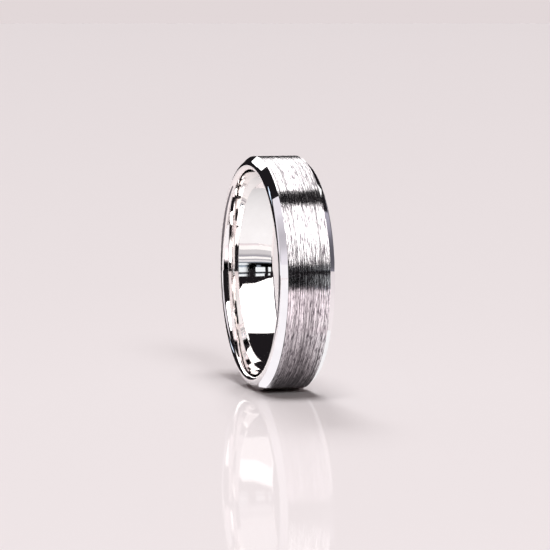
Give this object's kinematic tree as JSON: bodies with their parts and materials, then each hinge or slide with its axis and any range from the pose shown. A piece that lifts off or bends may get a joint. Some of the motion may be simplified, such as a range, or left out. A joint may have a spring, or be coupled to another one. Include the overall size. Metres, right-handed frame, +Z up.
{
  "type": "wedding band",
  "caption": "Flat wedding band with a brushed centre, polished bevelled edges and a polished comfort-fit bore.",
  "frame": {"origin": "centre of the bore, midway between the two sides of the band", "axes": "+Y along the bore from the front rail to the rear rail, +Z up through the top of the band as it stands on its outer face"},
  "size_m": [0.0204, 0.005, 0.0204],
  "materials": {
    "polished_liner": "mirror polish on white precious metal",
    "brushed_face": "fine lines brushed round the band",
    "polished_rail": "mirror polish on white precious metal"
  },
  "bodies": {
    "root": {"comfort_fit_liner": "polished_liner", "brushed_sleeve": "brushed_face", "front_bevel_rail": "polished_rail", "rear_bevel_rail": "polished_rail"}
  },
  "joints": []
}
